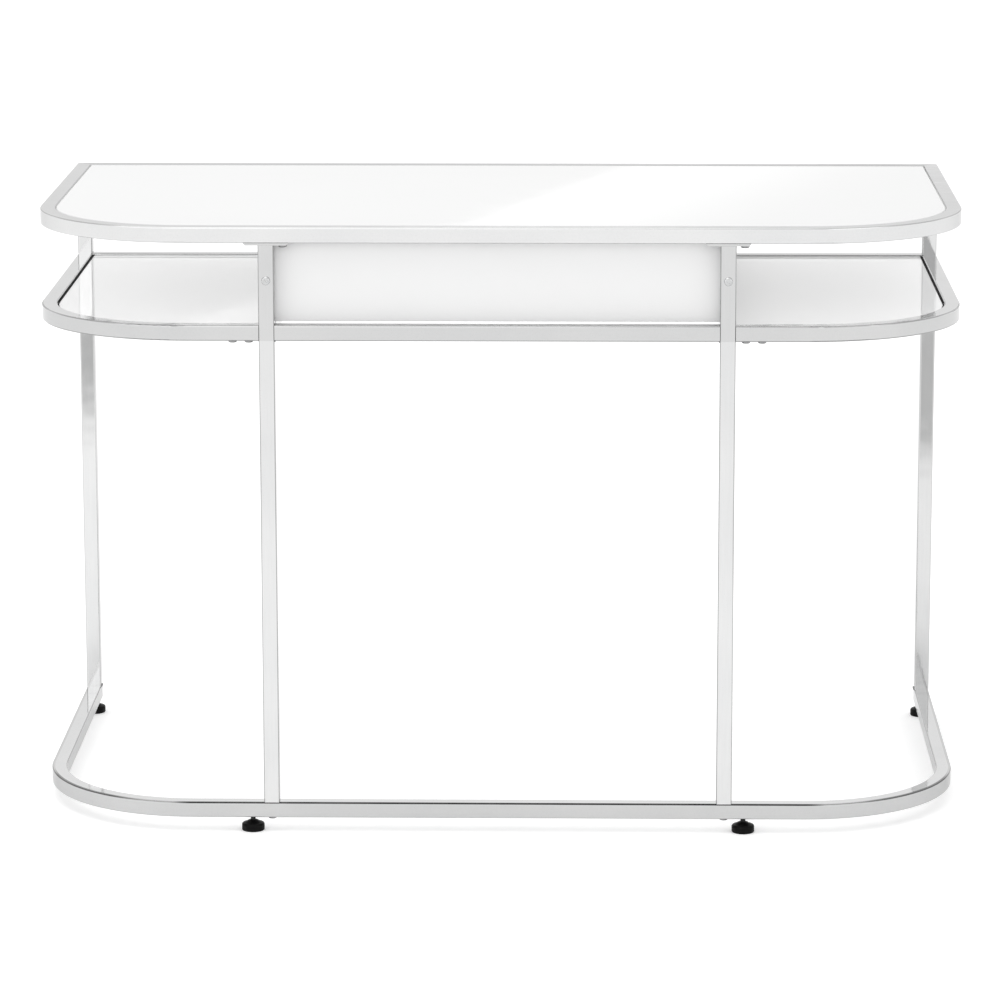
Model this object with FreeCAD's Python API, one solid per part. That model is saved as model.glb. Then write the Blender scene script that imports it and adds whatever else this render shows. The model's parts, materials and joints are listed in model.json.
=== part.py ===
import FreeCAD, Part
import math
import os

from FreeCAD import Vector

# D-shaped console table: three chromed square-tube frames (top, shelf, base) one above the other,
# joined by two front posts and two rear legs, with glass leaves and a drawer case in the middle.
# +X runs along the table, +Y points to the straight edge (the drawer side), +Z up.
# The origin is on the floor, at the middle of the footprint. All sizes in millimetres.

# ---- driving dimensions ----
WIDTH = 1140.0
DEPTH = 600.0
HEIGHT = 750.0
TUBE = 19.0              # square tube, outside
WALL = 1.2               # tube wall
TUBE_EDGE = 1.6          # rounding of the tube's long edges
CORNER_RADIUS = 195.0    # plan radius of the two bent corners, outside
SHELF_TOP = 631.0
BASE_TOP = 37.0
POST_X = 277.5           # centre of each front post from the middle

GLASS_THICKNESS = 5.0
GLASS_GAP = 1.2          # open joint between glass and tube
TOP_GLASS_DROP = 0.6     # glass surface below the tube's top face
SHELF_GLASS_DROP = 3.0
TAB_THICKNESS = 2.0
TAB_REACH = 16.0         # from the tube's inner face
TAB_HALF = 10.0
PAD_RADIUS = 4.0
PAD_OFFSET = 9.5         # pad centre from the tube's inner face
PAD_THICKNESS = 1.0

BOARD = 16.0             # case boards
THIN_BOARD = 9.0         # case top and bottom
CASE_GAP = 2.2           # case board edges to the rails above and below
FRONT_GAP = 2.0          # drawer front to the case behind it

SLIDE_THICKNESS = 12.7   # room that a ball-bearing slide takes on each side
DRAWER_SIDE = 12.0
DRAWER_LENGTH = 450.0
DRAWER_HEIGHT = 56.0

PAN_RADIUS = 5.3         # pan head of the joining screws
PAN_HEIGHT = 3.0
PAN_EDGE = 1.9           # rounding of the head
RECESS_LENGTH = 5.0      # cross recess in the head
RECESS_WIDTH = 1.1
RECESS_DEPTH = 1.7
SCREW_RADIUS = 2.5       # M5 shank
TOP_SCREW_LENGTH = 12.0
TONGUE_SCREW_LENGTH = 14.0
BASE_SCREW_LENGTH = 36.0
CASE_FLOOR_SCREW_LENGTH = 44.0
CASE_POST_SCREW_LENGTH = 70.0
LEG_SCREW_LENGTH = 13.0
M5_NUT = (5.0, 8.0)      # weld nuts: height, width across flats
M6_NUT = (8.0, 10.0)
FOOT_STEM_RADIUS = 3.0   # M6 levelling stem
FOOT_PAD_RADIUS = 14.0
FOOT_OFFSET = 24.0       # front foot outboard of its post
FOOT_STEM_LOW = 6.0      # where the stem starts inside its pad
FOOT_STEM_HIGH = 32.0    # its upper end, inside the base tube
FREE = 0.05              # radial clearance of screws and stems in their holes

# ---- worked-out positions ----
HALF_W = WIDTH / 2
HALF_D = DEPTH / 2
FRONT = -HALF_D
REAR = HALF_D
TOP_UNDER = HEIGHT - TUBE
SHELF_UNDER = SHELF_TOP - TUBE
BASE_UNDER = BASE_TOP - TUBE
CORE = TUBE - 2 * WALL           # clear width inside a tube
PLUG = CORE - 0.4                # square bar that slides into a tube
RAIL_Y = FRONT + TUBE / 2        # centre line of the front rails
LEG_X = HALF_W - TUBE / 2
LEG_Y = REAR - TUBE / 2
PLATE_THICKNESS = 3.0            # plates on top of the posts and rear legs
PLATE_HALF = 27.0                # post plate, half its length
PLATE_BEVEL = 2.4
PLATE_SCREW = 20.0               # its screw, right of the post's centre
LEG_PLATE_REACH = 52.0           # leg plate, from the table's side inwards
LEG_PLATE_SCREW = 28.0           # its screw, inwards from the leg's centre
PLATE_EASE = 0.5                 # plates stop this far inside the tube's faces
SCREW_HOLE = SCREW_RADIUS + 0.4  # clearance holes for the joining screws
TONGUE_LENGTH = 50.0
TONGUE_OFFSETS = (22.0, 41.5)    # the two shelf joint screws, outboard of the post's centre
SPIGOT_LENGTH = 42.0
PLUG_LENGTH = 25.0
CASE_SCREW_Z = 685.5
CASE_FLOOR_SCREW_Y = (-170.0, 170.0)
CASE_FRONT = FRONT + TUBE + 0.5
CASE_REAR = REAR - TUBE - FRONT_GAP
CASE_OUTER = POST_X + BOARD / 2
CASE_INNER = POST_X - BOARD / 2
CASE_LOW = SHELF_TOP + CASE_GAP
CASE_HIGH = TOP_UNDER - CASE_GAP
CAP = 2.0                        # visible thickness of the base rail's end caps
CAP_PLUG = 2.3                   # how far a cap reaches into the tube, short of the foot's nut
SIDES = (-1, 1)


# ---- small helpers ----
def box(x0, x1, y0, y1, z0, z1):
    """Axis-aligned box between two corners given in any order."""
    low = Vector(min(x0, x1), min(y0, y1), min(z0, z1))
    return Part.makeBox(abs(x1 - x0), abs(y1 - y0), abs(z1 - z0), low)


def cylinder(radius, x, y, z0, z1):
    """Upright cylinder."""
    return Part.makeCylinder(radius, z1 - z0, Vector(x, y, z0))


def cylinder_y(radius, x, z, y0, y1):
    """Cylinder along Y."""
    return Part.makeCylinder(radius, y1 - y0, Vector(x, y0, z), Vector(0, 1, 0))


def mirror_x(shape):
    """The same piece on the other side of the table."""
    return shape.mirror(Vector(0, 0, 0), Vector(1, 0, 0))


def on_side(shape, side):
    """Keep a right-hand shape, or mirror it to the left."""
    return shape if side > 0 else mirror_x(shape)


def save(name, shape):
    """Write one node: a single solid, or a compound of identical solids."""
    shape.exportStep("parts/" + name + ".step")


def group(shapes):
    """Several identical solids in one node."""
    return Part.makeCompound(shapes)


def rounded_bar(x0, x1, y0, y1, z0, z1, axis, radius):
    """Box with its four long edges, those along the axis, rounded."""
    body = box(x0, x1, y0, y1, z0, z1)
    edges = []
    for edge in body.Edges:
        start, end = edge.Vertexes[0].Point, edge.Vertexes[1].Point
        run = end.sub(start)
        if abs(run.dot(axis)) > 0.99 * run.Length:
            edges.append(edge)
    return body.makeFillet(radius, edges)


def straight_tube(x0, x1, y0, y1, z0, z1, axis):
    """Square tube along X, Y or Z, open at both ends."""
    body = rounded_bar(x0, x1, y0, y1, z0, z1, axis, TUBE_EDGE)
    inset = Vector(WALL, WALL, WALL) - axis * WALL
    core = box(x0 + inset.x, x1 - inset.x, y0 + inset.y, y1 - inset.y, z0 + inset.z, z1 - inset.z)
    return body.cut(core)


def d_outline(inset, rear_y):
    """Plan outline of the table: straight far side, two rounded near corners."""
    x = HALF_W - inset
    near = FRONT + inset
    r = CORNER_RADIUS - inset
    slant = r * math.sqrt(0.5)
    centre_x = x - r
    centre_y = near + r
    left_mid = Vector(-centre_x - slant, centre_y - slant, 0)
    right_mid = Vector(centre_x + slant, centre_y - slant, 0)
    rear_left, side_left = Vector(-x, rear_y, 0), Vector(-x, centre_y, 0)
    near_left, near_right = Vector(-centre_x, near, 0), Vector(centre_x, near, 0)
    side_right, rear_right = Vector(x, centre_y, 0), Vector(x, rear_y, 0)
    return Part.Wire([
        Part.LineSegment(rear_left, side_left).toShape(),
        Part.Arc(side_left, left_mid, near_left).toShape(),
        Part.LineSegment(near_left, near_right).toShape(),
        Part.Arc(near_right, right_mid, side_right).toShape(),
        Part.LineSegment(side_right, rear_right).toShape(),
        Part.LineSegment(rear_right, rear_left).toShape(),
    ])


def d_plate(inset, rear_y, z0, z1):
    """Solid plate of the D outline."""
    plate = Part.Face(d_outline(inset, rear_y)).extrude(Vector(0, 0, z1 - z0))
    plate.translate(Vector(0, 0, z0))
    return plate


def d_ring(z0, outer_rear, inner_rear, core_rear):
    """Hollow tube bent along the D outline.

    outer_rear and inner_rear are where the ring's outer and inner outlines stop at the far side;
    core_rear gives the same two for the space inside the tube.
    """
    z1 = z0 + TUBE
    ring = d_plate(0, outer_rear, z0, z1).cut(d_plate(TUBE, inner_rear, z0 - 1, z1 + 1))
    long_edges = []
    for edge in ring.Edges:
        level = all(abs(v.Point.z - z0) < 0.01 for v in edge.Vertexes)
        level = level or all(abs(v.Point.z - z1) < 0.01 for v in edge.Vertexes)
        middle = edge.valueAt((edge.FirstParameter + edge.LastParameter) / 2)
        at_open_end = outer_rear < inner_rear and abs(middle.y - outer_rear) < 0.01
        if level and not at_open_end:
            long_edges.append(edge)
    ring = ring.makeFillet(TUBE_EDGE, long_edges)
    core = d_plate(WALL, core_rear[0], z0 + WALL, z1 - WALL)
    core = core.cut(d_plate(TUBE - WALL, core_rear[1], z0, z1))
    return ring.cut(core)


def closed_ring(z0):
    """Tube ring with a straight far side, before it is cut into its welded lengths."""
    return d_ring(z0, REAR, REAR - TUBE, (REAR - WALL, REAR - TUBE + WALL))


def rear_wedge(z0):
    """Space of the far rail, with its two mitred ends."""
    near = REAR - TUBE
    corners = [(-HALF_W, REAR), (HALF_W, REAR), (HALF_W - TUBE, near), (-HALF_W + TUBE, near)]
    points = [Vector(x, y, z0 - 1) for x, y in corners]
    wire = Part.makePolygon(points + [points[0]])
    return Part.Face(wire).extrude(Vector(0, 0, TUBE + 2))


def pan_head(x, y, z, direction):
    """Pan head with a cross recess; it stands off the face at the given point along direction."""
    head = Part.makeCylinder(PAN_RADIUS, PAN_HEIGHT)
    head = head.makeFillet(PAN_EDGE, [e for e in head.Edges if e.Vertexes[0].Point.z > 1 and e.Closed])
    for size_x, size_y in ((RECESS_LENGTH, RECESS_WIDTH), (RECESS_WIDTH, RECESS_LENGTH)):
        half_x, half_y = size_x / 2, size_y / 2
        head = head.cut(box(-half_x, half_x, -half_y, half_y, PAN_HEIGHT - RECESS_DEPTH, PAN_HEIGHT + 1))
    head.rotate(Vector(0, 0, 0), Vector(0, 0, 1), 30)
    turn = FreeCAD.Rotation(Vector(0, 0, 1), direction)
    head.Placement = FreeCAD.Placement(Vector(x, y, z), turn).multiply(head.Placement)
    return head


def pan_screw(x, y, z, direction, length):
    """Pan-head screw: the head bears on the point, the shank runs the other way."""
    shank = Part.makeCylinder(SCREW_RADIUS, length, Vector(x, y, z), direction * -1)
    return pan_head(x, y, z, direction).fuse(shank).removeSplitter()


def hex_nut(x, y, z0, height, across, bore):
    """Hexagon weld nut standing on z0."""
    radius = across / math.sqrt(3)
    points = []
    for i in range(7):
        angle = math.radians(60 * i)
        points.append(Vector(x + radius * math.cos(angle), y + radius * math.sin(angle), z0))
    nut = Part.Face(Part.makePolygon(points)).extrude(Vector(0, 0, height))
    return nut.cut(cylinder(bore, x, y, z0 - 1, z0 + height + 1))


# ---- screw positions, used by the holes and by the screws ----
PLATE_SCREWS = [(side * POST_X + PLATE_SCREW, RAIL_Y) for side in SIDES]
LEG_PLATE_SCREWS = [(side * (LEG_X - LEG_PLATE_SCREW), LEG_Y) for side in SIDES]
TOP_SCREWS = PLATE_SCREWS + LEG_PLATE_SCREWS
TONGUE_SCREWS = [(side * (POST_X + offset), RAIL_Y) for side in SIDES for offset in TONGUE_OFFSETS]
BASE_SCREWS = [(side * POST_X, RAIL_Y) for side in SIDES]
CASE_FLOOR_SCREWS = [(side * POST_X, y) for side in SIDES for y in CASE_FLOOR_SCREW_Y]
LEG_SCREW_Z = SHELF_UNDER - 20.0
FEET = {
    "front_left": (-POST_X - FOOT_OFFSET, RAIL_Y),
    "front_right": (POST_X + FOOT_OFFSET, RAIL_Y),
    "rear_left": (-LEG_X, LEG_Y),
    "rear_right": (LEG_X, LEG_Y),
}


# ---- frames ----
def top_frame():
    """Top tube ring: one bent length and one straight far rail, mitred together."""
    ring = closed_ring(TOP_UNDER)
    for x, y in TOP_SCREWS:
        ring = ring.cut(cylinder(SCREW_HOLE, x, y, TOP_UNDER - 1, TOP_UNDER + WALL + 0.5))
    wedge = rear_wedge(TOP_UNDER)
    return ring.cut(wedge), ring.common(wedge)


def shelf_frame():
    """Shelf tube ring, cut by the posts and mitred at the far corners."""
    ring = closed_ring(SHELF_UNDER)
    for x, y in TONGUE_SCREWS:
        ring = ring.cut(cylinder(SCREW_HOLE, x, y, SHELF_UNDER - 1, SHELF_UNDER + WALL + 0.5))
    wedge = rear_wedge(SHELF_UNDER)
    rear_rail = ring.common(wedge)
    ring = ring.cut(wedge)
    outside = POST_X + TUBE / 2
    inside = POST_X - TUBE / 2
    low, high = SHELF_UNDER - 1, SHELF_TOP + 1
    right = ring.common(box(outside, HALF_W + 1, FRONT - 1, REAR + 1, low, high))
    left = ring.common(box(-outside, -HALF_W - 1, FRONT - 1, REAR + 1, low, high))
    centre = ring.common(box(-inside, inside, FRONT - 1, FRONT + TUBE + 1, low, high))
    return left, right, centre, rear_rail


def cross_rail(side):
    """Straight tube from the post back to the far shelf rail, under one side of the case."""
    x = side * POST_X
    rail = straight_tube(x - TUBE / 2, x + TUBE / 2, FRONT + TUBE, REAR - TUBE, SHELF_UNDER, SHELF_TOP,
                         Vector(0, 1, 0))
    for screw_x, screw_y in CASE_FLOOR_SCREWS:
        rail = rail.cut(cylinder(SCREW_RADIUS + FREE, screw_x, screw_y, SHELF_UNDER - 1, SHELF_TOP + 1))
    return rail


def base_frame():
    """Base tube, open at the far side, with holes for the feet and the post screws."""
    end = REAR - CAP
    tube = d_ring(BASE_UNDER, end, end + 10, (end + 10, end + 20))
    for x, y in FEET.values():
        tube = tube.cut(cylinder(FOOT_STEM_RADIUS + 0.4, x, y, BASE_UNDER - 1, BASE_UNDER + WALL + 0.5))
    for x, y in BASE_SCREWS:
        tube = tube.cut(cylinder(SCREW_HOLE, x, y, BASE_UNDER - 1, BASE_TOP + 1))
    return tube


def base_end_cap(side):
    """Plug in the open end of a base side rail."""
    x = side * LEG_X
    half = TUBE / 2
    cap = rounded_bar(x - half, x + half, REAR - CAP, REAR, BASE_UNDER, BASE_TOP, Vector(0, 1, 0),
                      TUBE_EDGE)
    z = (BASE_UNDER + BASE_TOP) / 2
    half = PLUG / 2
    return cap.fuse(box(x - half, x + half, REAR - CAP - CAP_PLUG, REAR - CAP, z - half, z + half))


# ---- posts and legs ----
def upper_post(side):
    """Post from the shelf frame's underside to its top plate, crossing the shelf rail."""
    x = side * POST_X
    half = TUBE / 2
    post = straight_tube(x - half, x + half, FRONT, FRONT + TUBE, SHELF_UNDER, TOP_UNDER - PLATE_THICKNESS,
                         Vector(0, 0, 1))
    return post.cut(cylinder_y(SCREW_RADIUS + FREE, x, CASE_SCREW_Z, FRONT - 1, FRONT + TUBE + 1))


def lower_post(side):
    """Post from the base rail to the shelf frame."""
    x = side * POST_X
    half = TUBE / 2
    return straight_tube(x - half, x + half, FRONT, FRONT + TUBE, BASE_TOP, SHELF_UNDER, Vector(0, 0, 1))


def post_plate(side):
    """Plate on top of a post, with bevelled ends and one screw hole on its right."""
    x = side * POST_X
    z = TOP_UNDER - PLATE_THICKNESS
    plate = box(x - PLATE_HALF, x + PLATE_HALF, FRONT + PLATE_EASE, FRONT + TUBE - PLATE_EASE, z, TOP_UNDER)
    ends = [e for e in plate.Edges if abs(e.Vertexes[0].Point.z - z) < 0.01
            and abs(e.Vertexes[1].Point.z - z) < 0.01 and abs(e.BoundBox.XLength) < 0.01]
    plate = plate.makeChamfer(PLATE_BEVEL, ends)
    return plate.cut(cylinder(SCREW_HOLE, x + PLATE_SCREW, RAIL_Y, z - 1, TOP_UNDER + 1))


def leg_plate(side):
    """Plate on top of a rear leg, reaching inwards under the far rail."""
    z = TOP_UNDER - PLATE_THICKNESS
    plate = box(side * (HALF_W - PLATE_EASE), side * (HALF_W - LEG_PLATE_REACH), REAR - TUBE + PLATE_EASE,
                REAR - PLATE_EASE, z, TOP_UNDER)
    return plate.cut(cylinder(SCREW_HOLE, side * (LEG_X - LEG_PLATE_SCREW), LEG_Y, z - 1, TOP_UNDER + 1))


def rear_leg(side, low, high):
    """Straight length of a rear leg."""
    x = side * LEG_X
    half = TUBE / 2
    return straight_tube(x - half, x + half, REAR - TUBE, REAR, low, high, Vector(0, 0, 1))


def lower_leg(side):
    """Rear leg between base and shelf, with the hole for its spigot screw in the far face."""
    leg = rear_leg(side, BASE_TOP, SHELF_UNDER)
    return leg.cut(cylinder_y(SCREW_HOLE, side * LEG_X, LEG_SCREW_Z, REAR - WALL - 0.5, REAR + 1))


def leg_spigot(side):
    """Square stub under a shelf corner that the lower leg slides onto."""
    x = side * LEG_X
    half = PLUG / 2
    stub = box(x - half, x + half, LEG_Y - half, LEG_Y + half, SHELF_UNDER - SPIGOT_LENGTH, SHELF_UNDER)
    return stub.cut(cylinder_y(SCREW_RADIUS + FREE, x, LEG_SCREW_Z, LEG_Y - half + 3, REAR))


def foot_plug(side):
    """Threaded block in the lower end of a post."""
    x = side * POST_X
    half = PLUG / 2
    block = box(x - half, x + half, RAIL_Y - half, RAIL_Y + half, BASE_TOP, BASE_TOP + PLUG_LENGTH)
    return block.cut(cylinder(SCREW_RADIUS + FREE, x, RAIL_Y, BASE_TOP - 1, BASE_TOP + 20))


def shelf_tongue(side):
    """Square bar from a post into the bent shelf tube, tapped for two screws."""
    outside = POST_X + TUBE / 2
    half = PLUG / 2
    z = SHELF_UNDER + TUBE / 2
    bar = box(outside, outside + TONGUE_LENGTH, RAIL_Y - half, RAIL_Y + half, z - half, z + half)
    for offset in TONGUE_OFFSETS:
        bar = bar.cut(cylinder(SCREW_RADIUS + FREE, POST_X + offset, RAIL_Y, z - half - 1, z + half - 3))
    return on_side(bar, side)


# ---- feet ----
def foot_stem(x, y):
    """Plain stem of the levelling foot, chamfered at both ends."""
    stem = cylinder(FOOT_STEM_RADIUS, x, y, FOOT_STEM_LOW, FOOT_STEM_HIGH)
    chamfered = [e for e in stem.Edges if e.Closed]
    return stem.makeChamfer(0.5, chamfered)


def foot_pad(x, y):
    """Round levelling pad: flat sole, upright rim, domed shoulder and short neck."""
    r = FOOT_PAD_RADIUS
    profile = [(0, 0), (r - 1.4, 0), (r - 0.4, 0.4), (r, 1.4), (r, 7.0), (r - 0.5, 8.4), (r - 1.8, 9.4),
               (r - 4.6, 10.3), (6.4, 12.2), (4.6, 13.0), (0, 13.0)]
    points = [Vector(radius, 0, height) for radius, height in profile]
    line = Part.LineSegment
    outline = Part.Wire([
        line(points[0], points[1]).toShape(),
        Part.Arc(points[1], points[2], points[3]).toShape(),
        line(points[3], points[4]).toShape(),
        Part.Arc(points[4], points[5], points[6]).toShape(),
        Part.Arc(points[6], points[7], points[8]).toShape(),
        line(points[8], points[9]).toShape(),
        line(points[9], points[10]).toShape(),
        line(points[10], points[0]).toShape(),
    ])
    pad = Part.Face(outline).revolve(Vector(0, 0, 0), Vector(0, 0, 1), 360)
    pad = pad.cut(Part.makeCylinder(FOOT_STEM_RADIUS + FREE, 20, Vector(0, 0, 6.0)))
    pad.translate(Vector(x, y, 0))
    return pad


# ---- glass ----
def top_glass():
    """Top leaf, almost flush inside the top frame."""
    high = HEIGHT - TOP_GLASS_DROP
    inset = TUBE + GLASS_GAP
    leaf = d_plate(inset, REAR - inset, high - GLASS_THICKNESS, high)
    return ease_edges(leaf, high - GLASS_THICKNESS, high)


def shelf_glass(side):
    """Shelf leaf between the bent tube and the cross rail."""
    high = SHELF_TOP - SHELF_GLASS_DROP
    low = high - GLASS_THICKNESS
    inset = TUBE + GLASS_GAP
    leaf = d_plate(inset, REAR - inset, low, high)
    inner = POST_X + TUBE / 2 + GLASS_GAP
    leaf = leaf.common(box(inner, HALF_W, -HALF_D, HALF_D, low, high))
    return on_side(ease_edges(leaf, low, high), side)


def ease_edges(leaf, low, high):
    """Ground arris on the upper and lower edges of a glass leaf."""
    edges = [e for e in leaf.Edges if all(abs(v.Point.z - low) < 0.01 for v in e.Vertexes)
             or all(abs(v.Point.z - high) < 0.01 for v in e.Vertexes)]
    return leaf.makeChamfer(0.5, edges)


def tab_places():
    """Where the glass rests: (x, y, direction away from the tube, leaf's underside)."""
    top_z = HEIGHT - TOP_GLASS_DROP - GLASS_THICKNESS
    shelf_z = SHELF_TOP - SHELF_GLASS_DROP - GLASS_THICKNESS
    near = FRONT + TUBE
    far = REAR - TUBE
    edge = HALF_W - TUBE
    cross = POST_X + TUBE / 2
    places = [(x, near, (0, 1), top_z) for x in (-335.0, 0.0, 335.0)]
    places += [(x, far, (0, -1), top_z) for x in (-430.0, 0.0, 430.0)]
    for side in SIDES:
        places.append((side * edge, 90.0, (-side, 0), top_z))
        places.append((side * edge, 90.0, (-side, 0), shelf_z))
        places.append((side * 350.0, near, (0, 1), shelf_z))
        places.append((side * 430.0, far, (0, -1), shelf_z))
        places += [(side * cross, y, (side, 0), shelf_z) for y in (-150.0, 150.0)]
    return places


def glass_tabs():
    """Steel tabs welded to the inside of the tubes, and the clear pads on them."""
    tabs = []
    pads = []
    for x, y, (dx, dy), leaf_low in tab_places():
        z = leaf_low - PAD_THICKNESS
        end_x = x + dx * TAB_REACH
        end_y = y + dy * TAB_REACH
        half_x = abs(dy) * TAB_HALF
        half_y = abs(dx) * TAB_HALF
        tabs.append(box(min(x, end_x) - half_x, max(x, end_x) + half_x, min(y, end_y) - half_y,
                        max(y, end_y) + half_y, z - TAB_THICKNESS, z))
        pads.append(cylinder(PAD_RADIUS, x + dx * PAD_OFFSET, y + dy * PAD_OFFSET, z, leaf_low))
    return tabs, pads


# ---- drawer case ----
def case_side(side):
    """Upright board on the cross rail; it carries the slide."""
    board = box(CASE_INNER, CASE_OUTER, CASE_FRONT + BOARD, CASE_REAR, SHELF_TOP, CASE_HIGH)
    board = board.cut(cylinder_y(SCREW_RADIUS, POST_X, CASE_SCREW_Z, CASE_FRONT, CASE_FRONT + BOARD + 40))
    for y in CASE_FLOOR_SCREW_Y:
        board = board.cut(cylinder(SCREW_RADIUS, POST_X, y, SHELF_TOP - 1, SHELF_TOP + 26))
    return on_side(board, side)


def case_back():
    """Board behind the posts, seen between them from the curved side."""
    board = box(-CASE_OUTER, CASE_OUTER, CASE_FRONT, CASE_FRONT + BOARD, CASE_LOW, CASE_HIGH)
    board = board.makeFillet(0.8, [e for e in board.Edges if abs(e.BoundBox.YLength) < 0.01
                                   and abs(e.Vertexes[0].Point.y - CASE_FRONT) < 0.01])
    for side in SIDES:
        board = board.cut(cylinder_y(SCREW_RADIUS, side * POST_X, CASE_SCREW_Z, CASE_FRONT - 1,
                                     CASE_FRONT + BOARD + 1))
    return board


def case_top():
    """Thin board that closes the case under the glass."""
    return box(-CASE_INNER, CASE_INNER, CASE_FRONT + BOARD, CASE_REAR, CASE_HIGH - THIN_BOARD, CASE_HIGH)


def case_bottom():
    """Thin board under the drawer."""
    return box(-CASE_INNER, CASE_INNER, CASE_FRONT + BOARD, CASE_REAR, CASE_LOW, CASE_LOW + THIN_BOARD)


# ---- drawer ----
DRAWER_OUTER = CASE_INNER - SLIDE_THICKNESS
DRAWER_INNER = DRAWER_OUTER - DRAWER_SIDE
DRAWER_LOW = CASE_LOW + THIN_BOARD + 7.0
DRAWER_HIGH = DRAWER_LOW + DRAWER_HEIGHT
DRAWER_FACE = REAR - TUBE            # inner face of the drawer front
DRAWER_BACK = DRAWER_FACE - DRAWER_LENGTH
DRAWER_BOTTOM = 6.0
GROOVE = 5.0
GROOVE_LOW = DRAWER_LOW + 4.0
SCOOP_RADIUS = 190.0                 # finger scoop in the drawer front's upper edge
SCOOP_DEPTH = 15.0


def bottom_groove():
    """Space of the drawer bottom where it enters the sides and the front."""
    return box(-DRAWER_INNER - GROOVE, DRAWER_INNER + GROOVE, DRAWER_BACK, DRAWER_FACE + GROOVE,
               GROOVE_LOW, GROOVE_LOW + DRAWER_BOTTOM)


def drawer_front():
    """Inset drawer front with a finger scoop in its upper edge."""
    front = box(-CASE_OUTER, CASE_OUTER, DRAWER_FACE, DRAWER_FACE + BOARD, CASE_LOW, CASE_HIGH)
    centre_z = CASE_HIGH + SCOOP_RADIUS - SCOOP_DEPTH
    front = front.cut(cylinder_y(SCOOP_RADIUS, 0, centre_z, DRAWER_FACE - 1, DRAWER_FACE + BOARD + 1))
    outer_face = DRAWER_FACE + BOARD
    rim = [e for e in front.Edges if all(abs(v.Point.y - outer_face) < 0.01 for v in e.Vertexes)]
    front = front.makeFillet(0.8, rim)
    return front.cut(bottom_groove())


def drawer_side(side):
    """Drawer side with the groove for the bottom."""
    board = box(DRAWER_INNER, DRAWER_OUTER, DRAWER_BACK, DRAWER_FACE, DRAWER_LOW, DRAWER_HIGH)
    return on_side(board.cut(bottom_groove()), side)


def drawer_back():
    """Drawer back, standing on the bottom."""
    return box(-DRAWER_INNER, DRAWER_INNER, DRAWER_BACK, DRAWER_BACK + DRAWER_SIDE,
               GROOVE_LOW + DRAWER_BOTTOM, DRAWER_HIGH)


def drawer_bottom():
    """Thin bottom panel held in the grooves."""
    return bottom_groove()


SLIDE_MIDDLE = (CASE_LOW + THIN_BOARD + CASE_HIGH - THIN_BOARD) / 2
SLIDE_REAR = CASE_REAR - 3.0
SLIDE_LENGTH = DRAWER_LENGTH - 20.0
SLIDE_TRAVEL = 300.0     # the cage moves half as far and starts half the travel from the inner end
SHEET = 1.2


def channel(web_x, lip_x, height, y0, y1):
    """C-shaped sheet channel: a web at web_x and two lips that reach to lip_x."""
    z0 = SLIDE_MIDDLE - height / 2
    z1 = SLIDE_MIDDLE + height / 2
    inward = 1 if lip_x > web_x else -1
    body = box(web_x, lip_x, y0, y1, z0, z1)
    return body.cut(box(web_x + inward * SHEET, lip_x + inward, y0 - 1, y1 + 1, z0 + SHEET, z1 - SHEET))


def slide_outer(side):
    """Slide member on the case side."""
    member = channel(CASE_INNER, CASE_INNER - 10.5, 44.0, SLIDE_REAR - SLIDE_LENGTH, SLIDE_REAR)
    return on_side(member, side)


def slide_inner(side):
    """Slide member on the drawer side."""
    member = channel(DRAWER_OUTER, DRAWER_OUTER + 8.5, 31.0, SLIDE_REAR - SLIDE_LENGTH + 4, SLIDE_REAR)
    return on_side(member, side)


CAGE_LENGTH = 120.0
BALL_RADIUS = 2.2
BALLS = 5                # in each row of a cage


def slide_cage(side):
    """Ball retainer between the two members: a bent strip with the balls in its two rows."""
    web_x = CASE_INNER - SHEET - 0.9
    lip_x = DRAWER_OUTER + SHEET + 1.6
    y0 = SLIDE_REAR - SLIDE_LENGTH + SLIDE_TRAVEL / 2 + 3
    y1 = y0 + CAGE_LENGTH
    row = (22.0 - SHEET + 15.5) / 2          # ball centres, from the slide's middle
    strip = 0.8
    cage = box(web_x - strip, web_x, y0, y1, SLIDE_MIDDLE - row - strip / 2, SLIDE_MIDDLE + row + strip / 2)
    for sign in SIDES:
        z = SLIDE_MIDDLE + sign * row
        cage = cage.fuse(box(lip_x, web_x, y0, y1, z - strip / 2, z + strip / 2))
        for i in range(BALLS):
            centre = Vector((web_x + lip_x) / 2, y0 + 10 + i * (CAGE_LENGTH - 20) / (BALLS - 1), z)
            cage = cage.fuse(Part.makeSphere(BALL_RADIUS, centre))
    return on_side(cage, side)


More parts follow.
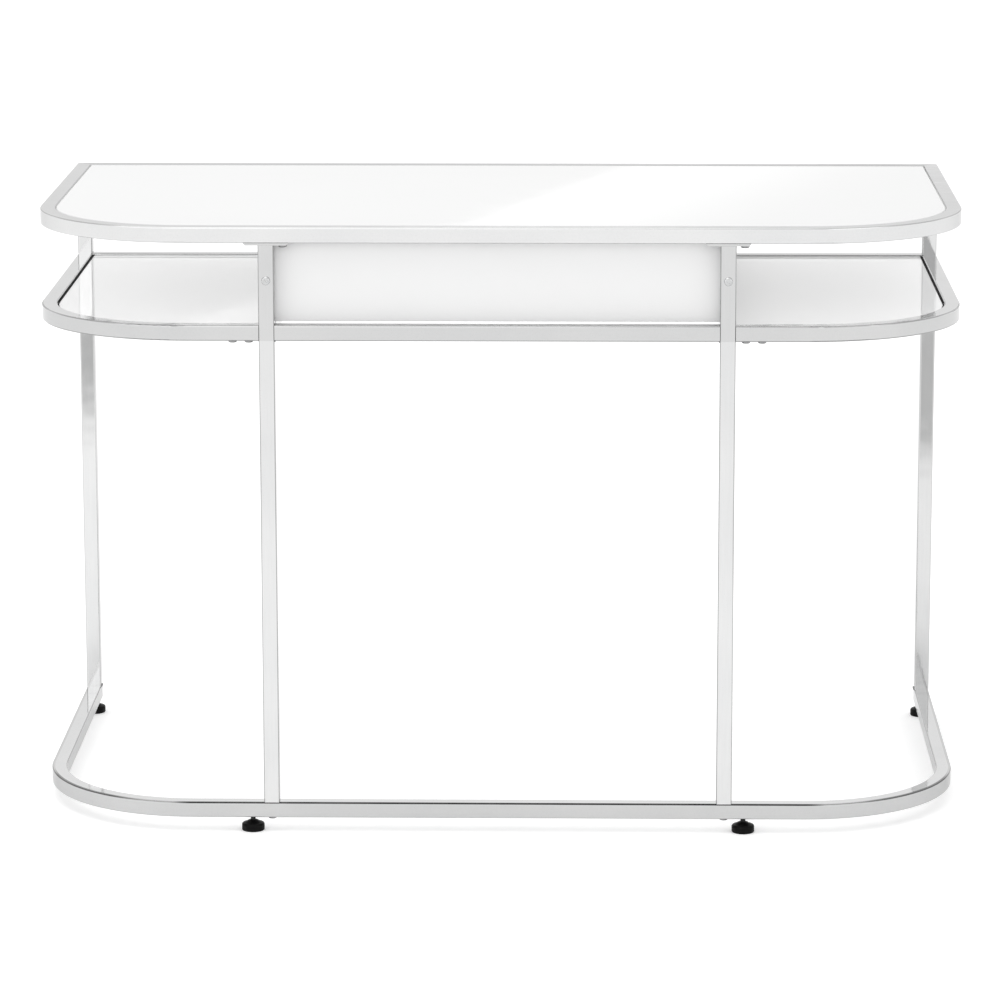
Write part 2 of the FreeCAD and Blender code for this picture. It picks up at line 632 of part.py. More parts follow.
# ---- write every node ----
def main():
    os.makedirs("parts", exist_ok=True)
    bent, rear_rail = top_frame()
    save("top_frame_bent_tube", bent)
    save("top_frame_rear_rail", rear_rail)
    left, right, centre, rear_rail = shelf_frame()
    save("left_shelf_bent_tube", left)
    save("right_shelf_bent_tube", right)
    save("shelf_centre_rail", centre)
    save("shelf_rear_rail", rear_rail)
    save("base_frame_tube", base_frame())
    save("top_glass", top_glass())
    save("case_back_panel", case_back())
    save("case_top_board", case_top())
    save("case_bottom_board", case_bottom())
    save("drawer_front", drawer_front())
    save("drawer_back", drawer_back())
    save("drawer_bottom", drawer_bottom())

    for word, side in (("left", -1), ("right", 1)):
        save(word + "_shelf_cross_rail", cross_rail(side))
        save(word + "_shelf_glass", shelf_glass(side))
        save(word + "_upper_post", upper_post(side))
        save(word + "_lower_post", lower_post(side))
        save(word + "_upper_leg", rear_leg(side, SHELF_TOP, TOP_UNDER - PLATE_THICKNESS))
        save(word + "_lower_leg", lower_leg(side))
        save(word + "_case_side", case_side(side))
        save(word + "_drawer_side", drawer_side(side))
        save(word + "_slide_outer", slide_outer(side))
        save(word + "_slide_cage", slide_cage(side))
        save(word + "_slide_inner", slide_inner(side))

    save("post_top_plates", group([post_plate(side) for side in SIDES]))
    save("leg_top_plates", group([leg_plate(side) for side in SIDES]))
    save("leg_spigots", group([leg_spigot(side) for side in SIDES]))
    save("post_foot_plugs", group([foot_plug(side) for side in SIDES]))
    save("shelf_tongues", group([shelf_tongue(side) for side in SIDES]))
    save("base_end_caps", group([base_end_cap(side) for side in SIDES]))
    tabs, pads = glass_tabs()
    save("glass_tabs", group(tabs))
    save("glass_pads", group(pads))

    down = Vector(0, 0, -1)
    plate_under = TOP_UNDER - PLATE_THICKNESS
    screws = [pan_screw(x, y, plate_under, down, TOP_SCREW_LENGTH) for x, y in TOP_SCREWS]
    save("top_fixing_screws", group(screws))
    screws = [pan_screw(x, y, SHELF_UNDER, down, TONGUE_SCREW_LENGTH) for x, y in TONGUE_SCREWS]
    save("shelf_joint_screws", group(screws))
    screws = [pan_screw(x, y, BASE_UNDER, down, BASE_SCREW_LENGTH) for x, y in BASE_SCREWS]
    save("base_post_screws", group(screws))
    screws = [pan_screw(x, y, SHELF_UNDER, down, CASE_FLOOR_SCREW_LENGTH) for x, y in CASE_FLOOR_SCREWS]
    save("case_floor_screws", group(screws))
    nearward = Vector(0, -1, 0)
    screws = [pan_screw(side * POST_X, FRONT, CASE_SCREW_Z, nearward, CASE_POST_SCREW_LENGTH)
              for side in SIDES]
    save("case_post_screws", group(screws))
    farward = Vector(0, 1, 0)
    screws = [pan_screw(side * LEG_X, REAR, LEG_SCREW_Z, farward, LEG_SCREW_LENGTH) for side in SIDES]
    save("leg_joint_screws", group(screws))

    nuts = [hex_nut(x, y, TOP_UNDER + WALL, *M5_NUT, SCREW_RADIUS + FREE) for x, y in TOP_SCREWS]
    save("top_weld_nuts", group(nuts))
    nuts = [hex_nut(x, y, BASE_UNDER + WALL, *M6_NUT, FOOT_STEM_RADIUS + FREE) for x, y in FEET.values()]
    save("foot_weld_nuts", group(nuts))
    for name, (x, y) in FEET.items():
        save(name + "_foot_pad", foot_pad(x, y))
        save(name + "_foot_stem", foot_stem(x, y))


main()
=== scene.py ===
import json
import math

import bmesh
import bpy
from mathutils import Matrix, Vector


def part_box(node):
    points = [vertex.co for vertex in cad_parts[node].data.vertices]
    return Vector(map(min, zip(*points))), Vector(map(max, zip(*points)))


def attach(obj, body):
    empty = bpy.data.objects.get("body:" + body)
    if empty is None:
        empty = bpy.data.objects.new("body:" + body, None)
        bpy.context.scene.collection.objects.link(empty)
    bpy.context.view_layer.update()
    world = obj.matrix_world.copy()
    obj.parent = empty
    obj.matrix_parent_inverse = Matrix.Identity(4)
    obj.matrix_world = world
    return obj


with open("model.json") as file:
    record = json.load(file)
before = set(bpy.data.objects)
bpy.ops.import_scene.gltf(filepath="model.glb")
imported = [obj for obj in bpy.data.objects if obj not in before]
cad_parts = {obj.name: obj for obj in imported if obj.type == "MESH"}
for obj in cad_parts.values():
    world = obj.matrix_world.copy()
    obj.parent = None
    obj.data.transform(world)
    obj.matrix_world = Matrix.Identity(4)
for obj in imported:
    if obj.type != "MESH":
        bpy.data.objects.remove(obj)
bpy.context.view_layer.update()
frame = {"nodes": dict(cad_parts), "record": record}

nodes = frame["nodes"]
record = frame["record"]
scene = bpy.context.scene
scene.view_settings.view_transform = "Standard"

MM = 0.001

# ---- sizes shared with the CAD model, read from its nodes ----
frame_low, frame_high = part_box("top_frame_bent_tube")
HALF_W = frame_high.x
FRONT = frame_low.y
TUBE = frame_high.z - frame_low.z
BEND_RADIUS = 195 * MM              # outer radius of the frames' front corners
BEND_X = HALF_W - BEND_RADIUS
BEND_Y = FRONT + BEND_RADIUS

# ---- sizes of the added pieces ----
SEAL_WIDTH = 2.3 * MM
SEAL_RISE = 1.0 * MM                # height above the shelf glass
SEAL_FOOT = 0.05 * MM               # clearance under the strip
SEAL_SIDE_GAP = 0.1 * MM            # clearance between strip and tube
SEAL_END_GAP = 1.4 * MM
SEAL_TURN = math.radians(22)        # how far round the bend the strip runs
SEAL_STRAIGHT_STEPS = 40
SEAL_BEND_STEPS = 12
BEAD_MIDDLE = 0.6 * MM              # from the tube's inner side to the middle of the glazing bead
BEAD_HALF = 0.45 * MM
BEAD_HEIGHT = 1.6 * MM
BEAD_DISH = 0.12 * MM
BEAD_DROP = 0.25 * MM               # below the glass surface
WELD_RADIUS = 1.4 * MM
WELD_STAND_OFF = 0.3 * MM           # middle of the seam, out of the corner
WELD_END = 1.5 * MM                 # from the tube's edge to the end of the seam
WELD_STEP = 0.35 * MM
WELD_PITCH = 1.5 * MM               # from ripple to ripple
WELD_SIDES = 10


# ---- camera ----
CAMERA_PLACE = (0.118, -5.636, 1.519)
CAMERA_PITCH = math.radians(11.66)
CAMERA_YAW = math.radians(1.23)
CAMERA_ROLL = math.radians(-0.08)


def make_camera():
    """Long lens, a little above the table top and a little right of its middle."""
    data = bpy.data.cameras.new("view_camera")
    data.lens = 162.0
    data.sensor_width = 36.0
    data.clip_start = 0.1
    data.clip_end = 200.0
    camera = bpy.data.objects.new("view_camera", data)
    scene.collection.objects.link(camera)
    level = math.cos(CAMERA_PITCH)
    forward = Vector((-math.sin(CAMERA_YAW) * level, math.cos(CAMERA_YAW) * level, -math.sin(CAMERA_PITCH)))
    turn = forward.to_track_quat("-Z", "Y").to_matrix().to_4x4()
    camera.matrix_world = Matrix.Translation(CAMERA_PLACE) @ turn @ Matrix.Rotation(CAMERA_ROLL, 4, "Z")
    scene.camera = camera


make_camera()


# ---- node helpers ----
class Tree:
    """Adds shader nodes and links them in one line each."""

    def __init__(self, tree):
        self.tree = tree
        self.tree.nodes.clear()

    def add(self, kind, inputs=None, **settings):
        node = self.tree.nodes.new(kind)
        for key, value in settings.items():
            setattr(node, key, value)
        for key, value in (inputs or {}).items():
            if isinstance(value, bpy.types.NodeSocket):
                self.tree.links.new(value, node.inputs[key])
            else:
                node.inputs[key].default_value = value
        return node

    def math(self, operation, a, b=0.0, clamp=False):
        return self.add("ShaderNodeMath", {0: a, 1: b}, operation=operation, use_clamp=clamp).outputs[0]

    def product(self, first, *others):
        for value in others:
            first = self.math("MULTIPLY", first, value)
        return first

    def vector(self, operation, a, b, output):
        return self.add("ShaderNodeVectorMath", {0: a, 1: b}, operation=operation).outputs[output]

    def map_range(self, value, low, high, start, end, curve):
        inputs = {"Value": value, "From Min": low, "From Max": high, "To Min": start, "To Max": end}
        return self.add("ShaderNodeMapRange", inputs, interpolation_type=curve).outputs[0]

    def smooth(self, value, low, high, start=0.0, end=1.0):
        """Takes low..high to start..end with soft ends."""
        return self.map_range(value, low, high, start, end, "SMOOTHSTEP")

    def scale(self, value, low, high, start, end):
        """Takes low..high to start..end along a straight line."""
        return self.map_range(value, low, high, start, end, "LINEAR")

    def vary(self, noise, start, end):
        """Spreads the usual range of a noise over start..end."""
        return self.scale(noise, 0.3, 0.7, start, end)

    def split(self, vector):
        return self.add("ShaderNodeSeparateXYZ", {0: vector}).outputs

    def spread(self, value):
        """The same value in all three channels."""
        return self.add("ShaderNodeCombineXYZ", {0: value, 1: value, 2: value}).outputs[0]

    def place(self):
        """Position on the object, in metres."""
        return self.add("ShaderNodeTexCoord").outputs["Object"]

    def normal(self):
        return self.add("ShaderNodeNewGeometry").outputs["Normal"]

    def noise(self, vector, size, detail=3.0, rough=0.5, stretch=(1, 1, 1)):
        """Noise whose features are about this many metres across."""
        mapped = self.add("ShaderNodeMapping", {"Vector": vector, "Scale": tuple(s / size for s in stretch)})
        inputs = {"Vector": mapped.outputs[0], "Scale": 1.0, "Detail": detail, "Roughness": rough}
        return self.add("ShaderNodeTexNoise", inputs).outputs["Fac"]

    def bump(self, height, strength, distance, normal=None):
        inputs = {"Height": height, "Strength": strength, "Distance": distance}
        if normal is not None:
            inputs["Normal"] = normal
        return self.add("ShaderNodeBump", inputs).outputs[0]

    def mix(self, factor, a, b, blend="MIX"):
        node = self.add("ShaderNodeMix", {0: factor, 6: a, 7: b}, data_type="RGBA", blend_type=blend)
        return node.outputs[2]


def grey(value, tint=(1, 1, 1)):
    return (value * tint[0], value * tint[1], value * tint[2], 1.0)


def material(name):
    """Empty material with its node tree."""
    made = bpy.data.materials.new(name)
    made.use_nodes = True
    return made, Tree(made.node_tree)


def close_material(tree, shader_inputs):
    shader = tree.add("ShaderNodeBsdfPrincipled", shader_inputs)
    tree.add("ShaderNodeOutputMaterial", {"Surface": shader.outputs[0]})


# ---- chrome ----
CHROME_DULL = 0.95
CHROME_BRIGHT = 1.03
COOL = (0.995, 1.0, 1.003)
WARM = (1.0, 1.0, 0.998)
UPRIGHT_STREAKS = (1, 1, 0.05)
# near-black tone and width of a painted reflection line along a tube's outer upper edge
PAINTED_LINE_TONE = 0.012
PAINTED_LINE_WIDTH = 4.0 * MM               # on the upper face, from the tube's outer side


def flatness(tree, upright):
    """1 on the flat sides of a square tube, less on its rounded long edges."""
    x, y, z = tree.split(tree.normal())
    if upright:
        return tree.math("MAXIMUM", tree.math("ABSOLUTE", x), tree.math("ABSOLUTE", y))
    level = tree.math("SQRT", tree.math("ADD", tree.product(x, x), tree.product(y, y)))
    return tree.math("MAXIMUM", level, tree.math("ABSOLUTE", z))


def painted_reflection_line(tree, place, depth):
    """Mask of a painted reflection: a dark line on the rounded outer upper edge of a tube bent along the
    table's outline.
    """
    x, y, _ = tree.split(place)
    past_bend = tree.math("MAXIMUM", tree.math("SUBTRACT", tree.math("ABSOLUTE", x), BEND_X), 0.0)
    before_bend = tree.math("MINIMUM", tree.math("SUBTRACT", y, BEND_Y), 0.0)
    out_x = tree.product(tree.math("SIGN", x), past_bend)
    out_y = tree.math("SUBTRACT", before_bend, 0.1 * MM)
    outward = tree.add("ShaderNodeCombineXYZ", {0: out_x, 1: out_y, 2: 0.0}).outputs[0]
    reach = tree.add("ShaderNodeVectorMath", {0: outward}, operation="LENGTH").outputs["Value"]
    outward = tree.add("ShaderNodeVectorMath", {0: outward}, operation="NORMALIZE").outputs[0]
    normal = tree.normal()
    facing = tree.vector("DOT_PRODUCT", normal, outward, "Value")
    rise = tree.split(normal)[2]
    near_edge = tree.smooth(reach, BEND_RADIUS - PAINTED_LINE_WIDTH, BEND_RADIUS - 0.8 * PAINTED_LINE_WIDTH)
    band = tree.math("MAXIMUM", tree.smooth(facing, 0.03, 0.12), near_edge)
    band = tree.product(band, tree.smooth(rise, 0.06, 0.20))
    turn = tree.math("ABSOLUTE", tree.split(outward)[0])
    front = tree.smooth(turn, 0.02, 0.16, 1.0, 0.25)
    bend = tree.smooth(turn, 0.30, 0.55, 0.0, 0.5)
    sides = tree.smooth(turn, 0.93, 0.99, 1.0, 0.25)
    along = tree.product(tree.math("ADD", front, bend), sides)
    wobble = tree.vary(tree.noise(place, 50 * MM, detail=2.0), 0.85, 1.0)
    return tree.math("MULTIPLY", tree.product(band, along), tree.product(wobble, depth), clamp=True)


def chrome(name, tone, upright=False, grazing=0.80, edge=0.72, upper=1.0, under=1.0, line=0.0):
    """Decorative chrome plating: faint polishing streaks, a soft waviness and fine wipe marks, plus painted
    shade, a painted highlight and a painted reflection line, set by edge, under, upper and line.

    upright is for tubes along Z; grazing is the tone where the surface is seen at a glance.
    edge is painted shade: the tone of the rounded long edges beside the flats, darker there to stand in for
    dark reflections.
    upper is a painted highlight that brightens the upward faces; under is painted shade, the tone of the
    rounded lower edge and underside.
    line is the depth of a painted reflection: a thin dark line along the outer upper edge.
    """
    made, tree = material(name)
    place = tree.place()
    broad = tree.noise(place, 110 * MM, detail=2.0)
    fine = tree.noise(place, 2.8 * MM, 3.0, 0.6, UPRIGHT_STREAKS if upright else (1, 1, 1))
    wave = tree.noise(place, 35 * MM, detail=1.0)
    streaks = tree.math("ADD", tree.vary(broad, 0.0, 0.6), tree.vary(fine, 0.0, 0.4))
    colour = tree.mix(streaks, grey(tone * CHROME_DULL, COOL), grey(tone * CHROME_BRIGHT, WARM))
    # painted shade: the rounded long edges get the darker edge tone, standing in for the dark reflections
    # they would show
    shade = tree.smooth(flatness(tree, upright), 0.84, 0.97, edge, 1.0)
    # painted shade: the underside and rounded lower edge darkened to the under tone
    if under != 1.0:
        shade = tree.product(shade, tree.smooth(tree.split(tree.normal())[2], -0.06, -0.30, 1.0, under))
    # painted highlight: the upward faces brightened by the upper factor
    if upper != 1.0:
        shade = tree.product(shade, tree.smooth(tree.split(tree.normal())[2], 0.90, 0.98, 1.0, upper))
    colour = tree.mix(1.0, colour, tree.spread(shade), "MULTIPLY")
    # painted reflection: a near-black line along the outer upper edge, strongest along the front
    if line > 0.0:
        colour = tree.mix(painted_reflection_line(tree, place, line), colour, grey(PAINTED_LINE_TONE))
    rough = tree.vary(tree.noise(place, 20 * MM, 4.0, 0.6), 0.035, 0.085)
    normal = tree.bump(wave, 0.05, 4 * MM)
    normal = tree.bump(fine, 0.06, 0.2 * MM, normal)
    close_material(tree, {"Base Color": colour, "Metallic": 1.0, "Roughness": rough, "Normal": normal,
                          "Specular Tint": grey(grazing)})
    return made


# ---- other materials ----
def white_glass(name, tone):
    """White milk glass: smooth glossy faces, ground edges with a faint green-grey cast."""
    made, tree = material(name)
    place = tree.place()
    cloud = tree.noise(place, 180 * MM, detail=2.0)
    face = tree.mix(cloud, grey(tone * 0.985), grey(tone))
    level = tree.math("ABSOLUTE", tree.split(tree.normal())[2])
    colour = tree.mix(tree.smooth(level, 0.35, 0.9), grey(tone * 0.70, (0.95, 1.0, 0.98)), face)
    rough = tree.vary(tree.noise(place, 50 * MM, detail=4.0), 0.012, 0.035)
    normal = tree.bump(tree.noise(place, 250 * MM, detail=1.0), 0.03, 2 * MM)
    close_material(tree, {"Base Color": colour, "Roughness": rough, "Normal": normal, "IOR": 1.5})
    return made


def lacquer(name, tone):
    """Sprayed satin lacquer with a fine orange peel."""
    made, tree = material(name)
    place = tree.place()
    colour = tree.mix(tree.noise(place, 90 * MM), grey(tone * 0.98), grey(tone))
    rough = tree.vary(tree.noise(place, 15 * MM), 0.28, 0.42)
    normal = tree.bump(tree.noise(place, 1.6 * MM, detail=2.0), 0.05, 0.1 * MM)
    close_material(tree, {"Base Color": colour, "Roughness": rough, "Normal": normal})
    return made


def melamine(name, tone):
    """White melamine-faced board with a fine pebbled surface."""
    made, tree = material(name)
    place = tree.place()
    cloud = tree.noise(place, 50 * MM, 4.0, 0.6)
    colour = tree.mix(cloud, grey(tone * 0.96, (1.0, 0.995, 0.985)), grey(tone))
    pebble = tree.add("ShaderNodeTexVoronoi", {"Vector": place, "Scale": 900.0}).outputs["Distance"]
    normal = tree.bump(pebble, 0.12, 0.1 * MM)
    rough = tree.vary(tree.noise(place, 10 * MM), 0.42, 0.58)
    close_material(tree, {"Base Color": colour, "Roughness": rough, "Normal": normal})
    return made


def steel(name, dark, light, rough_low, rough_high):
    """Plain or zinc-plated steel with a mottled, finely grained surface."""
    made, tree = material(name)
    place = tree.place()
    mottle = tree.noise(place, 6 * MM, 4.0, 0.6)
    grain = tree.noise(place, 1.2 * MM, 2.0, 0.6)
    colour = tree.mix(mottle, grey(dark, (0.98, 1.0, 1.02)), grey(light, (1.0, 1.0, 0.99)))
    rough = tree.vary(grain, rough_low, rough_high)
    normal = tree.bump(grain, 0.12, 0.1 * MM)
    close_material(tree, {"Base Color": colour, "Metallic": 1.0, "Roughness": rough, "Normal": normal})
    return made


def plastic(name, dark, light, rough_low, rough_high, gloss=0.5):
    """Moulded plastic or rubber with a fine spark-eroded grain."""
    made, tree = material(name)
    place = tree.place()
    colour = tree.mix(tree.noise(place, 8 * MM), grey(dark), grey(light))
    rough = tree.vary(tree.noise(place, 4 * MM), rough_low, rough_high)
    normal = tree.bump(tree.noise(place, 0.7 * MM, 2.0, 0.6), 0.15, 0.1 * MM)
    close_material(tree, {"Base Color": colour, "Roughness": rough, "Normal": normal,
                          "Specular IOR Level": gloss})
    return made


# Painted light: the one chrome plating gets a different tone per part, lighter or darker to match the
# reflections each part shows, so these are lit and shaded copies of one chrome.
TOP_CHROME = chrome("chrome_top_frame", 0.735)
REAR_CHROME = chrome("chrome_top_rear_rail", 0.54)
# painted light: the shelf frame's top faces brightened and its underside darkened
SHELF_CHROME = chrome("chrome_shelf_frame", 0.60, grazing=0.9, upper=1.06, under=0.55)
# painted shade: darker rounded edges on the posts, standing in for dark reflections
UPPER_POST_CHROME = chrome("chrome_upper_posts", 0.615, upright=True, edge=0.50)
LOWER_POST_CHROME = chrome("chrome_lower_posts", 0.69, upright=True, edge=0.45)
# painted light: upper brightens the base's top faces, line draws a dark reflection line along its outer upper
# edge
BASE_CHROME = chrome("chrome_base_frame", 0.56, upper=1.46, line=0.98)
UPPER_LEG_CHROME = chrome("chrome_upper_legs", 0.70, upright=True)
LEFT_LEG_CHROME = chrome("chrome_left_lower_leg", 0.70, upright=True)
# painted shade: the right lower leg's chrome is set darker than the left's
RIGHT_LEG_CHROME = chrome("chrome_right_lower_leg", 0.645, upright=True)
WELD = chrome("chrome_weld_seam", 0.30)
# Painted light: the same white glass is toned down on the brightly lit top and toned up on the shelf to
# offset the shade under the top.
TOP_GLASS = white_glass("white_top_glass", 0.68)
SHELF_GLASS = white_glass("white_shelf_glass", 0.90)
LACQUER = lacquer("white_satin_lacquer", 0.73)
MELAMINE = melamine("white_melamine_board", 0.80)
ZINC = steel("zinc_plated_steel", 0.48, 0.62, 0.22, 0.40)
SCREW = steel("bright_screw_steel", 0.50, 0.66, 0.10, 0.22)
# darker steel for the shelf joint, base post and top fixing screws than for the other screws
SMALL_SCREW = steel("darker_screw_steel", 0.22, 0.34, 0.18, 0.32)
FOOT_STEEL = steel("foot_stem_steel", 0.025, 0.05, 0.35, 0.50)
CAP = plastic("grey_end_cap_plastic", 0.30, 0.34, 0.42, 0.55)
FOOT = plastic("black_foot_plastic", 0.0015, 0.004, 0.38, 0.52, gloss=0.10)
PAD = plastic("clear_bumper_rubber", 0.62, 0.70, 0.28, 0.40)
# the strip's black also stands in for the shade in the shelf joint
SEAL = plastic("black_seal_rubber", 0.006, 0.012, 0.65, 0.80, gloss=0.12)
# the bead's grey also stands in for the shade line round the top glass
BEAD = plastic("grey_glazing_bead", 0.50, 0.56, 0.50, 0.65)

SLOT_MATERIAL = {
    "chrome_tube": SHELF_CHROME,
    "white_glass": SHELF_GLASS,
    "white_lacquer": LACQUER,
    "drawer_board": MELAMINE,
    "zinc_steel": ZINC,
    "screw_steel": SCREW,
    "cap_plastic": CAP,
    "foot_plastic": FOOT,
    "foot_steel": FOOT_STEEL,
    "clear_pad": PAD,
}
NODE_MATERIAL = {
    "shelf_joint_screws": SMALL_SCREW,
    "base_post_screws": SMALL_SCREW,
    "top_fixing_screws": SMALL_SCREW,
    "top_glass": TOP_GLASS,
    "top_frame_bent_tube": TOP_CHROME,
    "top_frame_rear_rail": REAR_CHROME,
    "base_frame_tube": BASE_CHROME,
    "left_upper_post": UPPER_POST_CHROME,
    "right_upper_post": UPPER_POST_CHROME,
    "left_lower_post": LOWER_POST_CHROME,
    "right_lower_post": LOWER_POST_CHROME,
    "left_upper_leg": UPPER_LEG_CHROME,
    "right_upper_leg": UPPER_LEG_CHROME,
    "left_lower_leg": LEFT_LEG_CHROME,
    "right_lower_leg": RIGHT_LEG_CHROME,
}


def finish_nodes():
    """Gives each CAD node its own material, or else its slot's."""
    slot_of = {part["node"]: part["material_slot"] for part in record["subparts"]}
    for name, obj in nodes.items():
        finish = NODE_MATERIAL.get(name) or SLOT_MATERIAL[slot_of[name]]
        obj.data.materials.clear()
        obj.data.materials.append(finish)


finish_nodes()
nodes["top_glass"].visible_shadow = False    # milk glass lets the overhead light through to the shelf


# ---- pieces ----
def mesh_object(name, built, finish, body):
    """Links a finished bmesh as a piece that rides on a body."""
    bmesh.ops.recalc_face_normals(built, faces=built.faces)
    mesh = bpy.data.meshes.new(name)
    built.to_mesh(mesh)
    built.free()
    for face in mesh.polygons:
        face.use_smooth = True
    mesh.materials.append(finish)
    piece = bpy.data.objects.new(name, mesh)
    scene.collection.objects.link(piece)
    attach(piece, body)


def add_sweep(built, points, sections):
    """Closed tube through the points: each section is a ring of (across, up) offsets."""
    rings = []
    for index, point in enumerate(points):
        before = points[max(index - 1, 0)]
        after = points[min(index + 1, len(points) - 1)]
        along = (after - before).normalized()
        across = along.cross(Vector((0, 0, 1)))
        across = across.normalized() if across.length > 0.001 else Vector((1, 0, 0))
        up = across.cross(along)
        rings.append([built.verts.new(point + across * a + up * b) for a, b in sections[index]])
    count = len(rings[0])
    for near, far in zip(rings, rings[1:]):
        for i in range(count):
            j = (i + 1) % count
            built.faces.new((near[i], near[j], far[j], far[i]))
    built.faces.new(rings[0])
    built.faces.new(reversed(rings[-1]))


def seal_path(side):
    """Points along the inner side of the shelf tube, from its rear corner into the start of the bend."""
    inset = SEAL_WIDTH / 2 + SEAL_SIDE_GAP
    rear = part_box("shelf_rear_rail")[0].y - SEAL_END_GAP
    x = HALF_W - TUBE - inset
    radius = BEND_RADIUS - TUBE - inset
    rows = []
    for i in range(SEAL_STRAIGHT_STEPS + 1):
        rows.append((x, rear - i / SEAL_STRAIGHT_STEPS * (rear - BEND_Y)))
    for i in range(1, SEAL_BEND_STEPS + 1):
        turn = SEAL_TURN * i / SEAL_BEND_STEPS
        rows.append((BEND_X + radius * math.cos(turn), BEND_Y - radius * math.sin(turn)))
    return [Vector((side * a, b, 0.0)) for a, b in rows]


def make_seal(name, side):
    """Black rubber strip in the joint between a shelf leaf and its side tube, thinning out on the bend; its
    black also stands in for the shadow in that joint.
    """
    glass_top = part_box(name.replace("_seal", "_glass"))[1].z
    points = seal_path(side)
    sections = []
    for index in range(len(points)):
        round_bend = max(index - SEAL_STRAIGHT_STEPS, 0) / SEAL_BEND_STEPS
        half = SEAL_WIDTH / 2 * (1.0 - 0.6 * round_bend)
        top = SEAL_RISE * (1.0 - 0.5 * round_bend)
        sections.append([(-half, SEAL_FOOT), (half, SEAL_FOOT), (half, top * 0.6), (half * 0.6, top),
                         (-half * 0.6, top), (-half, top * 0.6)])
    built = bmesh.new()
    add_sweep(built, [point + Vector((0, 0, glass_top)) for point in points], sections)
    mesh_object(name, built, SEAL, "frame")


def make_glazing_bead():
    """Thin sealing bead in the joint all round the top glass, just below the glass surface; its grey also
    stands in for the shade line in that joint.
    """
    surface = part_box("top_glass")[1].z - BEAD_DROP
    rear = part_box("top_frame_rear_rail")[0].y - BEAD_MIDDLE
    half_x = HALF_W - TUBE - BEAD_MIDDLE
    radius = BEND_RADIUS - TUBE - BEAD_MIDDLE
    outline = [(-half_x, rear), (-half_x, BEND_Y)]
    for degrees in range(3, 91, 3):
        turn = math.radians(degrees)
        outline.append((-BEND_X - radius * math.cos(turn), BEND_Y - radius * math.sin(turn)))
    outline += [(-x, y) for x, y in reversed(outline)]
    points = [Vector((x, y, surface)) for x, y in outline + [outline[0]]]
    ring = [(-BEAD_HALF, -BEAD_HEIGHT), (BEAD_HALF, -BEAD_HEIGHT), (BEAD_HALF, 0.0), (0.0, -BEAD_DISH),
            (-BEAD_HALF, 0.0)]
    built = bmesh.new()
    add_sweep(built, points, [ring] * len(points))
    mesh_object("top_glazing_bead", built, BEAD, "frame")


def add_weld(built, start, end, seed):
    """Weld seam: a row of small overlapping ripples that tapers off at both ends."""
    length = (end - start).length
    steps = max(int(length / WELD_STEP), 8)
    corners = [math.pi * 2 * k / WELD_SIDES for k in range(WELD_SIDES)]
    points, sections = [], []
    for i in range(steps + 1):
        t = i / steps
        ripple = 0.86 + 0.14 * abs(math.sin((t * length / WELD_PITCH + seed) * math.pi))
        taper = min(1.0, 0.35 + 5.0 * min(t, 1.0 - t))
        size = WELD_RADIUS * ripple * taper
        points.append(start + (end - start) * t)
        sections.append([(size * math.cos(a), size * math.sin(a)) for a in corners])
    add_sweep(built, points, sections)


def make_weld_seams():
    """Seams where posts and rear legs meet the rails, on the sides that face along the table."""
    built = bmesh.new()
    count = 0
    for side in ("left", "right"):
        for tube, welded_foot in (("_lower_post", False), ("_lower_leg", True), ("_upper_leg", False)):
            low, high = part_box(side + tube)
            x = high.x + WELD_STAND_OFF if side == "left" else low.x - WELD_STAND_OFF
            heights = [high.z - WELD_STAND_OFF]
            if welded_foot:
                heights.append(low.z + WELD_STAND_OFF)
            for z in heights:
                start, end = Vector((x, low.y + WELD_END, z)), Vector((x, high.y - WELD_END, z))
                add_weld(built, start, end, 0.37 * count)
                count += 1
    mesh_object("weld_seams", built, WELD, "frame")


make_seal("left_shelf_seal", -1)
make_seal("right_shelf_seal", 1)
make_weld_seams()
make_glazing_bead()


# ---- stage: each pair of numbers is where a soft edge starts and ends ----
CARD_END = (-3.0, -3.15)
LEFT_CARD = {"inner": (-0.60, -0.68), "outer": (-1.15, -1.20), "near": (-1.56, -2.41), "depth": 0.47}
RIGHT_CARD = {"inner": (0.58, 0.64), "outer": (1.15, 1.20), "near": (-1.30, -1.91), "depth": 0.42}
FLOOR_GLOW = 0.12
FLOOR_GLOW_SEEN = 0.22              # where the camera sees the floor directly
OVERHEAD = 1.1
FRONT_GLOW = 0.75
GAP_LEVEL = 0.45
PATCH_NORMAL = (0.3402, -0.1230, 0.9323)    # plane that bounds the brighter patch of the backdrop
PATCH_GLOW = 0.22
FLAG_LEVEL = 0.60


def floor_card(tree, place, inner, outer, near, depth):
    """Mask of a grey card lying on the floor in front of one side of the table."""
    x, y, _ = tree.split(place)
    across = tree.product(tree.smooth(x, *inner), tree.smooth(x, *outer, 1.0, 0.0))
    along = tree.product(tree.smooth(y, *near), tree.smooth(y, *CARD_END, 1.0, 0.0))
    return tree.product(across, along, depth)


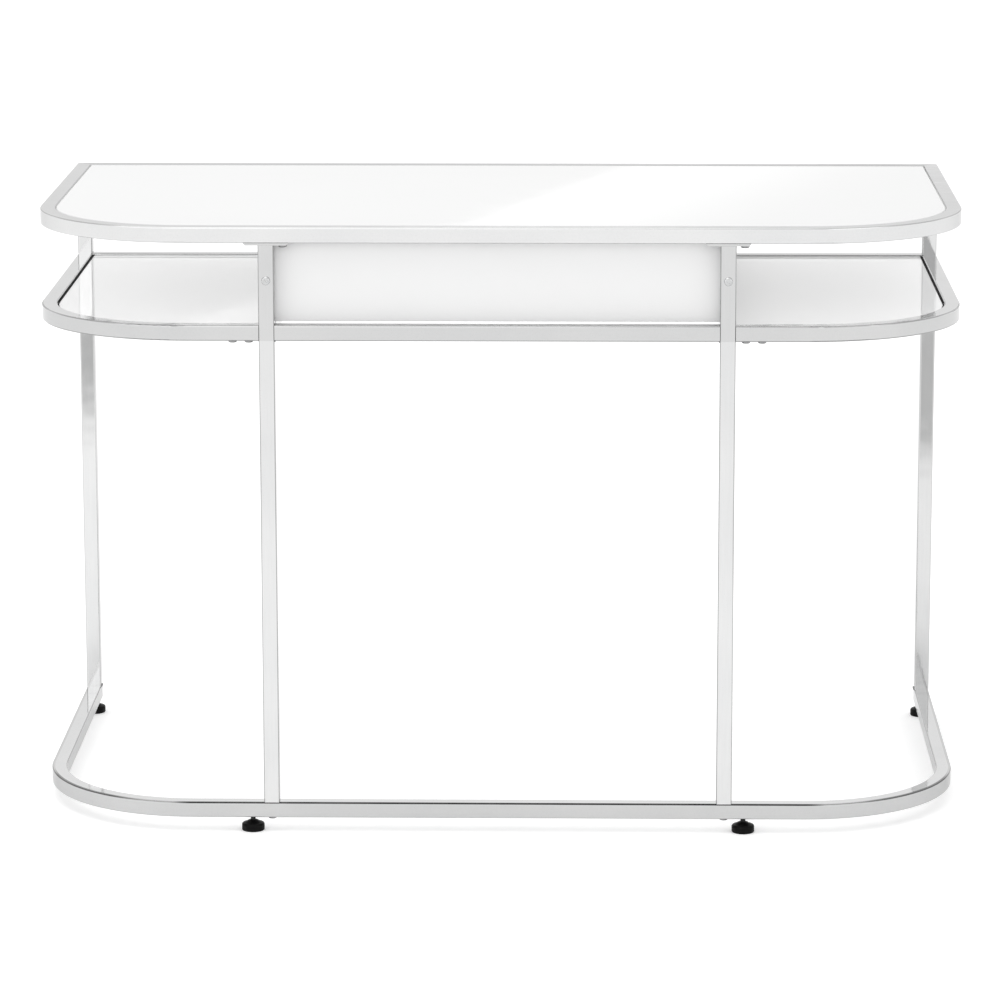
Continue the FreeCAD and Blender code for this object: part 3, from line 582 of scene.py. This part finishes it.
def make_floor():
    """Pale paper with a faint glow, and two grey cards that only reflections show."""
    mesh = bpy.data.meshes.new("floor")
    built = bmesh.new()
    bmesh.ops.create_circle(built, cap_ends=True, radius=60.0, segments=96)
    built.to_mesh(mesh)
    built.free()
    floor = bpy.data.objects.new("floor", mesh)
    scene.collection.objects.link(floor)
    made, tree = material("floor_paper")
    place = tree.place()
    ray = tree.add("ShaderNodeLightPath").outputs
    colour = tree.mix(tree.noise(place, 0.8), grey(0.905), grey(0.915))
    normal = tree.bump(tree.noise(place, 2 * MM, detail=2.0), 0.03, 0.2 * MM)
    cards = tree.math("MAXIMUM", floor_card(tree, place, **LEFT_CARD), floor_card(tree, place, **RIGHT_CARD))
    shade = tree.math("SUBTRACT", 1.0, tree.product(cards, ray["Is Glossy Ray"]))
    colour = tree.mix(1.0, colour, tree.spread(shade), "MULTIPLY")
    glow = tree.scale(ray["Is Camera Ray"], 0.0, 1.0, FLOOR_GLOW, FLOOR_GLOW_SEEN)
    close_material(tree, {"Base Color": colour, "Roughness": 0.9, "Normal": normal, "Specular IOR Level": 0.1,
                          "Emission Color": grey(1.0), "Emission Strength": tree.product(shade, glow)})
    mesh.materials.append(made)


def make_world():
    """White studio tent with a low glow in front, a gap in it, and darker flags to the sides."""
    world = bpy.data.worlds.new("studio")
    world.use_nodes = True
    scene.world = world
    tree = Tree(world.node_tree)
    direction = tree.add("ShaderNodeTexCoord").outputs["Generated"]
    x, y, z = tree.split(direction)
    ray = tree.add("ShaderNodeLightPath").outputs
    level = tree.smooth(z, 0.0, 1.0, 1.0, OVERHEAD)

    # the glow in front reaches higher for diffuse light than for reflections
    diffuse = tree.math("SUBTRACT", 1.0, ray["Is Glossy Ray"])
    low_glow = tree.smooth(z, 0.30, 0.24)
    high_glow = tree.product(tree.smooth(z, 0.60, 0.40), diffuse)
    reach = tree.math("MAXIMUM", low_glow, high_glow)
    level = tree.math("ADD", level, tree.product(tree.smooth(y, -0.45, -0.70, 0.0, FRONT_GLOW), reach))

    gap = tree.product(tree.smooth(x, -0.03, 0.03), tree.smooth(x, 0.22, 0.35, 1.0, 0.0),
                       tree.smooth(y, -0.80, -0.88), tree.smooth(z, 0.16, 0.34, 1.0, 0.0))
    level = tree.product(level, tree.scale(gap, 0.0, 1.0, 1.0, GAP_LEVEL))

    across = tree.vector("DOT_PRODUCT", direction, PATCH_NORMAL, "Value")
    patch = tree.product(tree.smooth(across, 0.0, 0.001), tree.smooth(across, 0.004, 0.024, 1.0, 0.0),
                         tree.math("GREATER_THAN", y, 0.5), tree.smooth(z, 0.185, 0.17, 0.0, PATCH_GLOW))
    level = tree.math("ADD", level, patch)

    flags = tree.smooth(tree.math("ABSOLUTE", x), 0.80, 0.95, 1.0, FLAG_LEVEL)
    flags = tree.math("MAXIMUM", flags, tree.smooth(z, 0.25, 0.60))
    level = tree.product(level, flags)

    colour = tree.mix(ray["Is Camera Ray"], tree.spread(level), grey(1.0))
    back = tree.add("ShaderNodeBackground", {"Color": colour, "Strength": 1.0})
    tree.add("ShaderNodeOutputWorld", {"Surface": back.outputs[0]})


def make_light(name, place, target, size, power):
    data = bpy.data.lights.new(name, "AREA")
    data.shape = "RECTANGLE"
    data.size, data.size_y = size
    data.energy = power
    light = bpy.data.objects.new(name, data)
    scene.collection.objects.link(light)
    light.location = place
    light.rotation_mode = "QUATERNION"
    light.rotation_quaternion = (Vector(target) - Vector(place)).to_track_quat("-Z", "Y")
    light.visible_camera = False


make_floor()
make_world()
make_light("overhead_softbox", (-0.6, -0.5, 3.2), (0.0, 0.0, 0.4), (2.4, 2.0), 18.0)
